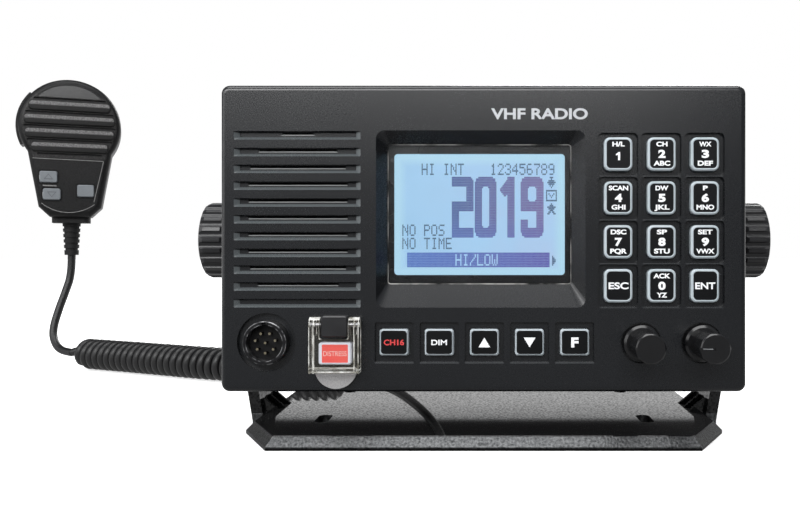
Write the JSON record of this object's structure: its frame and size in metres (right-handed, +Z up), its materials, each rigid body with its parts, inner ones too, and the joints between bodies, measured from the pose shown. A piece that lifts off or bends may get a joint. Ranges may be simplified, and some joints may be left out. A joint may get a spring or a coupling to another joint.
{
  "type": "vhf marine radio",
  "caption": "Fixed-mount marine radio with display, keypad, covered distress key and knobs, tilting in a U-bracket with side clamp knobs, with a fist microphone on a curly cord.",
  "frame": {"origin": "middle of the bracket's underside, straight below the radio's tilt axis", "axes": "+X to the operator's right, +Y away from the operator towards the radio's back, +Z up"},
  "size_m": [0.4076, 0.2696, 0.176],
  "materials": {
    "bracket_coat": "textured semi-gloss black powder coat",
    "cast_metal": "matte black coat on die-cast metal",
    "panel_plastic": "fine-grained charcoal moulding",
    "knob_plastic": "satin black moulding",
    "key_plastic": "black key top with a light printed ring",
    "distress_red": "white key with a red face",
    "clear_cover": "clear moulded cover",
    "clear_window": "clear window with a black printed border",
    "display_glass": "backlit light blue display",
    "steel": "plain steel",
    "plated_metal": "satin nickel plate",
    "black_metal": "black anodised socket shell and ring",
    "contact_metal": "plated contact pins",
    "rubber": "matte black rubber",
    "board": "green circuit board",
    "cone_paper": "black speaker cone",
    "mic_plastic": "spark-textured black moulding",
    "mic_key_grey": "grey keys",
    "cord_jacket": "semi-matte black cord jacket",
    "coil_volume": "semi-matte black cord jacket"
  },
  "bodies": {
    "bracket": {"bracket": "bracket_coat", "cord_curly": "coil_volume", "cord_mic_tail": "cord_jacket", "cord_radio_tail": "cord_jacket"},
    "radio": {"front_panel": "panel_plastic", "panel_gasket": "rubber", "chassis": "cast_metal", "case_screws": "steel", "friction_washers": "rubber", "display_window": "clear_window", "lcd_module": "display_glass", "speaker_basket": "steel", "speaker_cone": "cone_paper", "key_board": "board", "keypad_mat": "rubber", "main_board": "board", "distress_hinge_block": "knob_plastic", "distress_hinge_pin": "steel", "socket_shell": "black_metal", "socket_insert": "knob_plastic", "socket_pins": "contact_metal", "rotary_controls": "steel", "antenna_socket": "plated_metal", "power_inlet": "knob_plastic", "cord_gland": "rubber"},
    "clamp_left": {"clamp_knob_left": "knob_plastic", "clamp_stud_left": "steel"},
    "clamp_right": {"clamp_knob_right": "knob_plastic", "clamp_stud_right": "steel"},
    "volume_knob": {"volume_knob": "knob_plastic"},
    "channel_knob": {"channel_knob": "knob_plastic"},
    "distress_cover": {"distress_cover": "clear_cover"},
    "distress_button": {"distress_button": "distress_red"},
    "microphone": {"mic_front_shell": "mic_plastic", "mic_rear_shell": "mic_plastic", "mic_capsule": "plated_metal", "mic_hang_button": "plated_metal", "cord_boot": "rubber"},
    "mic_ptt": {"mic_ptt": "knob_plastic"},
    "mic_key_up": {"mic_key_up": "mic_key_grey"},
    "mic_key_down": {"mic_key_down": "mic_key_grey"},
    "mic_key_side": {"mic_key_side": "mic_key_grey"},
    "key_1": {"key_1": "key_plastic"},
    "key_2": {"key_2": "key_plastic"},
    "key_3": {"key_3": "key_plastic"},
    "key_4": {"key_4": "key_plastic"},
    "key_5": {"key_5": "key_plastic"},
    "key_6": {"key_6": "key_plastic"},
    "key_7": {"key_7": "key_plastic"},
    "key_8": {"key_8": "key_plastic"},
    "key_9": {"key_9": "key_plastic"},
    "key_escape": {"key_escape": "key_plastic"},
    "key_0": {"key_0": "key_plastic"},
    "key_enter": {"key_enter": "key_plastic"},
    "row_key_1": {"row_key_1": "key_plastic"},
    "row_key_2": {"row_key_2": "key_plastic"},
    "row_key_3": {"row_key_3": "key_plastic"},
    "row_key_4": {"row_key_4": "key_plastic"},
    "row_key_5": {"row_key_5": "key_plastic"}
  },
  "joints": [
    {"name": "radio_tilt", "type": "hinge", "parent": "bracket", "child": "radio", "pos_m": [0, 0, 0.0752], "axis": [1, 0, 0], "range_deg": [-15, 15], "deforming": ["cord_radio_tail"]},
    {"name": "clamp_left_turn", "type": "hinge", "parent": "bracket", "child": "clamp_left", "pos_m": [-0.1038, 0, 0.0752], "axis": [-1, 0, 0], "continuous": true},
    {"name": "clamp_right_turn", "type": "hinge", "parent": "bracket", "child": "clamp_right", "pos_m": [0.1038, 0, 0.0752], "axis": [1, 0, 0], "continuous": true},
    {"name": "volume_turn", "type": "hinge", "parent": "radio", "child": "volume_knob", "pos_m": [0.0777, -0.056, 0.038], "axis": [0, 1, 0], "range_deg": [-60, 240]},
    {"name": "channel_turn", "type": "hinge", "parent": "radio", "child": "channel_knob", "pos_m": [0.0561, -0.056, 0.038], "axis": [0, 1, 0], "continuous": true},
    {"name": "distress_cover_lift", "type": "hinge", "parent": "radio", "child": "distress_cover", "pos_m": [-0.0523, -0.0591, 0.0448], "axis": [-1, 0, 0], "range_deg": [0, 110], "stiffness_Nm_per_rad": 0.002},
    {"name": "distress_press", "type": "slide", "parent": "radio", "child": "distress_button", "axis": [0, 1, 0], "range_m": [0, 0.001], "stiffness_N_per_m": 1500},
    {"name": "mic_lift", "type": "slide", "parent": "bracket", "child": "microphone", "axis": [0, 0, 1], "range_m": [0, 0.03], "deforming": ["cord_mic_tail"]},
    {"name": "mic_ptt_press", "type": "slide", "parent": "microphone", "child": "mic_ptt", "axis": [0.9205, 0.3907, 0], "range_m": [0, 0.0015], "stiffness_N_per_m": 1500},
    {"name": "mic_key_up_press", "type": "slide", "parent": "microphone", "child": "mic_key_up", "axis": [-0.3907, 0.9205, 0], "range_m": [0, 0.0008], "stiffness_N_per_m": 1000},
    {"name": "mic_key_down_press", "type": "slide", "parent": "microphone", "child": "mic_key_down", "axis": [-0.3907, 0.9205, 0], "range_m": [0, 0.0008], "stiffness_N_per_m": 1000},
    {"name": "mic_key_side_press", "type": "slide", "parent": "microphone", "child": "mic_key_side", "axis": [-0.3907, 0.9205, 0], "range_m": [0, 0.0008], "stiffness_N_per_m": 1000},
    {"name": "key_1_press", "type": "slide", "parent": "radio", "child": "key_1", "axis": [0, 1, 0], "range_m": [0, 0.0009], "stiffness_N_per_m": 1000},
    {"name": "key_2_press", "type": "slide", "parent": "radio", "child": "key_2", "axis": [0, 1, 0], "range_m": [0, 0.0009], "stiffness_N_per_m": 1000},
    {"name": "key_3_press", "type": "slide", "parent": "radio", "child": "key_3", "axis": [0, 1, 0], "range_m": [0, 0.0009], "stiffness_N_per_m": 1000},
    {"name": "key_4_press", "type": "slide", "parent": "radio", "child": "key_4", "axis": [0, 1, 0], "range_m": [0, 0.0009], "stiffness_N_per_m": 1000},
    {"name": "key_5_press", "type": "slide", "parent": "radio", "child": "key_5", "axis": [0, 1, 0], "range_m": [0, 0.0009], "stiffness_N_per_m": 1000},
    {"name": "key_6_press", "type": "slide", "parent": "radio", "child": "key_6", "axis": [0, 1, 0], "range_m": [0, 0.0009], "stiffness_N_per_m": 1000},
    {"name": "key_7_press", "type": "slide", "parent": "radio", "child": "key_7", "axis": [0, 1, 0], "range_m": [0, 0.0009], "stiffness_N_per_m": 1000},
    {"name": "key_8_press", "type": "slide", "parent": "radio", "child": "key_8", "axis": [0, 1, 0], "range_m": [0, 0.0009], "stiffness_N_per_m": 1000},
    {"name": "key_9_press", "type": "slide", "parent": "radio", "child": "key_9", "axis": [0, 1, 0], "range_m": [0, 0.0009], "stiffness_N_per_m": 1000},
    {"name": "key_escape_press", "type": "slide", "parent": "radio", "child": "key_escape", "axis": [0, 1, 0], "range_m": [0, 0.0009], "stiffness_N_per_m": 1000},
    {"name": "key_0_press", "type": "slide", "parent": "radio", "child": "key_0", "axis": [0, 1, 0], "range_m": [0, 0.0009], "stiffness_N_per_m": 1000},
    {"name": "key_enter_press", "type": "slide", "parent": "radio", "child": "key_enter", "axis": [0, 1, 0], "range_m": [0, 0.0009], "stiffness_N_per_m": 1000},
    {"name": "row_key_1_press", "type": "slide", "parent": "radio", "child": "row_key_1", "axis": [0, 1, 0], "range_m": [0, 0.0009], "stiffness_N_per_m": 1000},
    {"name": "row_key_2_press", "type": "slide", "parent": "radio", "child": "row_key_2", "axis": [0, 1, 0], "range_m": [0, 0.0009], "stiffness_N_per_m": 1000},
    {"name": "row_key_3_press", "type": "slide", "parent": "radio", "child": "row_key_3", "axis": [0, 1, 0], "range_m": [0, 0.0009], "stiffness_N_per_m": 1000},
    {"name": "row_key_4_press", "type": "slide", "parent": "radio", "child": "row_key_4", "axis": [0, 1, 0], "range_m": [0, 0.0009], "stiffness_N_per_m": 1000},
    {"name": "row_key_5_press", "type": "slide", "parent": "radio", "child": "row_key_5", "axis": [0, 1, 0], "range_m": [0, 0.0009], "stiffness_N_per_m": 1000}
  ]
}
